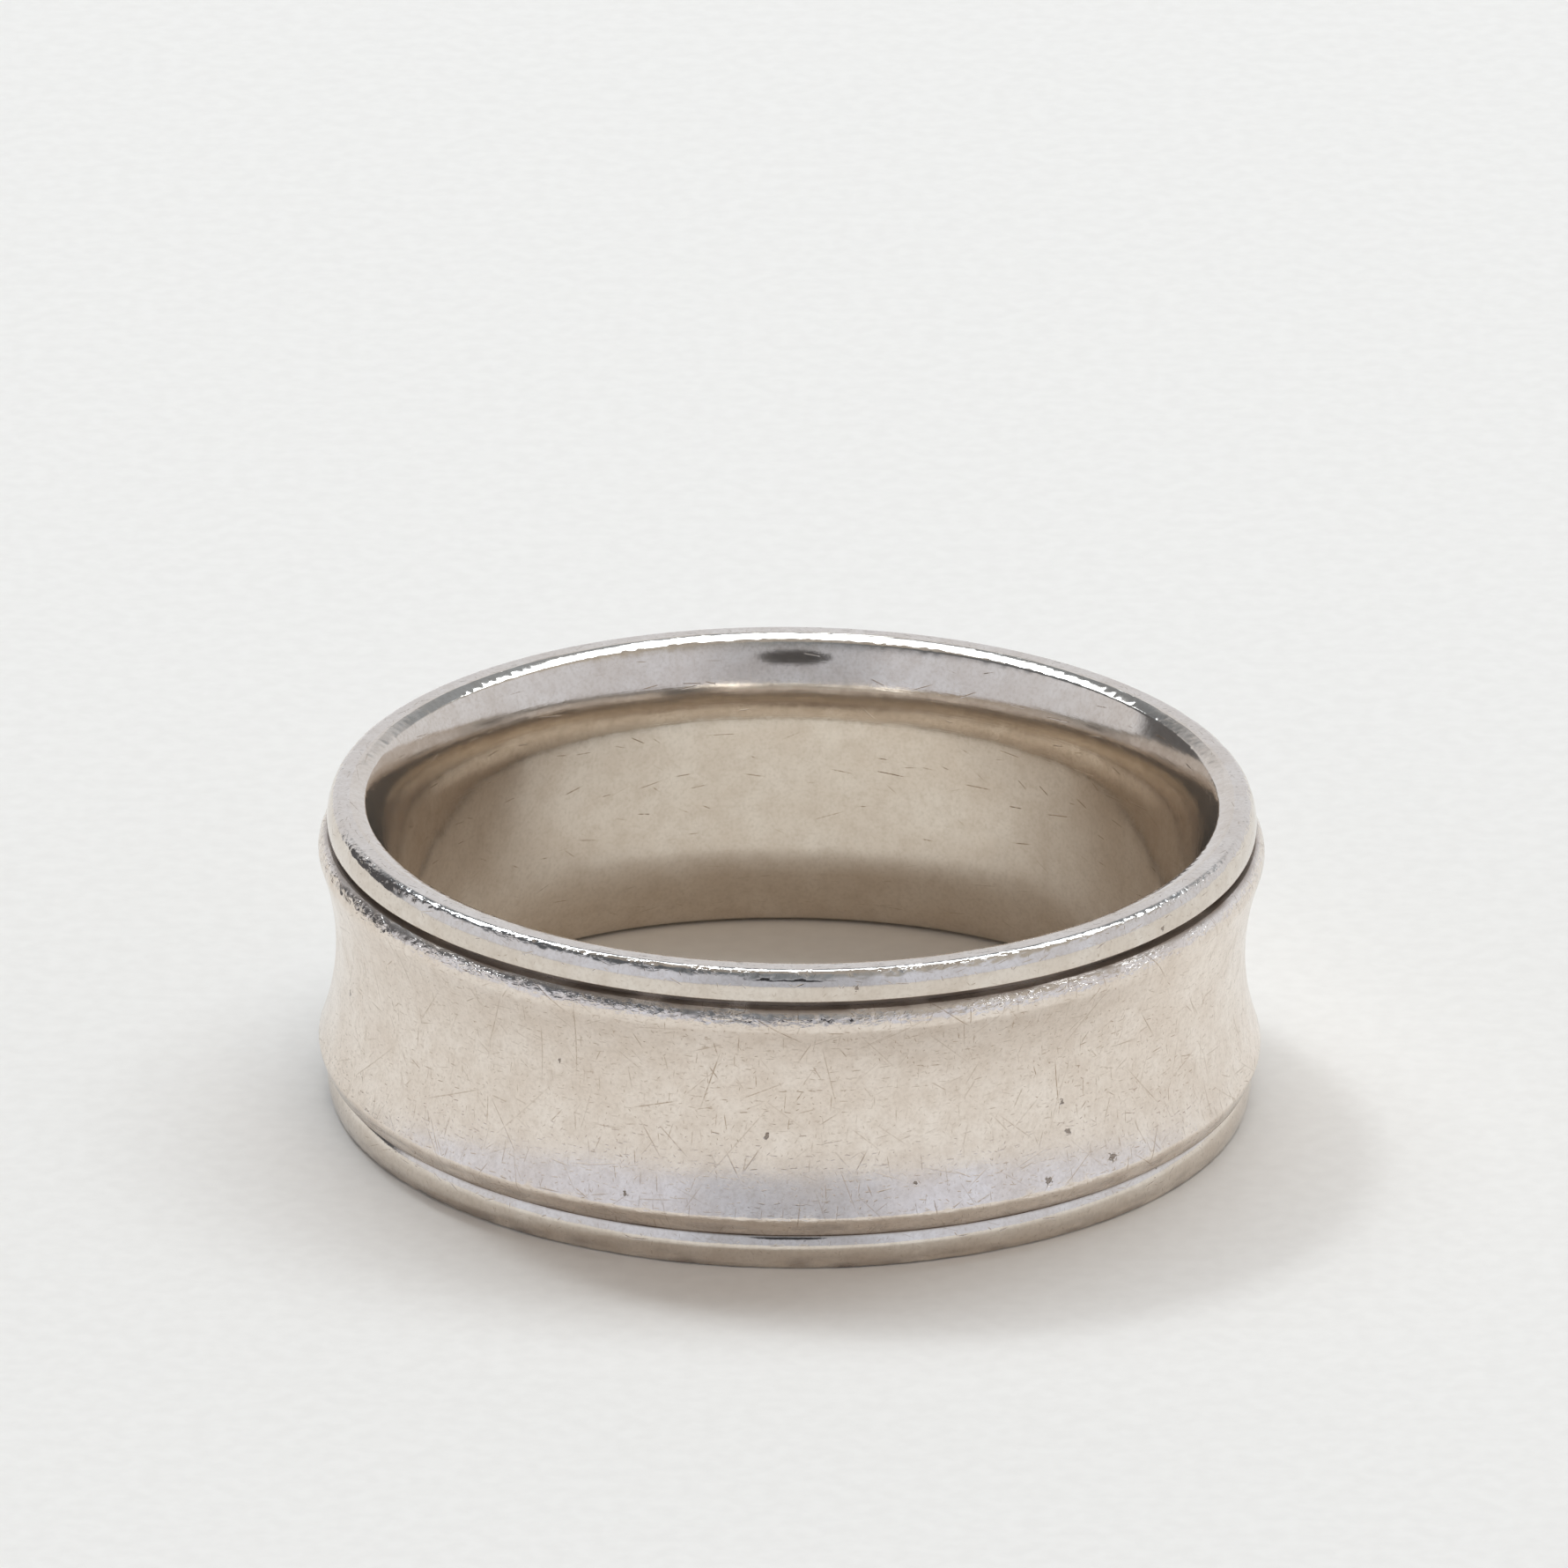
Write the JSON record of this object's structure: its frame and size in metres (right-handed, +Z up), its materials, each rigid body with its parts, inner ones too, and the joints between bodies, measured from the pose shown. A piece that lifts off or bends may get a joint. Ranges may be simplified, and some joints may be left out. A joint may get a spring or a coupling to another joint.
{
  "type": "wedding band",
  "caption": "Wide comfort-fit wedding band with a concave outer face between two rounded crests and a narrow bead rail at each edge.",
  "frame": {"origin": "centre of the bore on the lower face, on the plane that the band rests on", "axes": "+Z up along the bore axis, +X and +Y in the plane of the lower face"},
  "size_m": [0.021, 0.021, 0.007],
  "materials": {
    "sleeve_metal": "polished white gold bore, worn smooth, with fine wear lines",
    "band_metal": "worn satin white gold with fine scratches in every direction, small pits and dinged crests",
    "rail_metal": "worn polish on the bead, brushed round the face, dark in the seam"
  },
  "bodies": {
    "root": {"inner_sleeve": "sleeve_metal", "concave_band": "band_metal", "upper_edge_ring": "rail_metal", "lower_edge_ring": "rail_metal"}
  },
  "joints": []
}
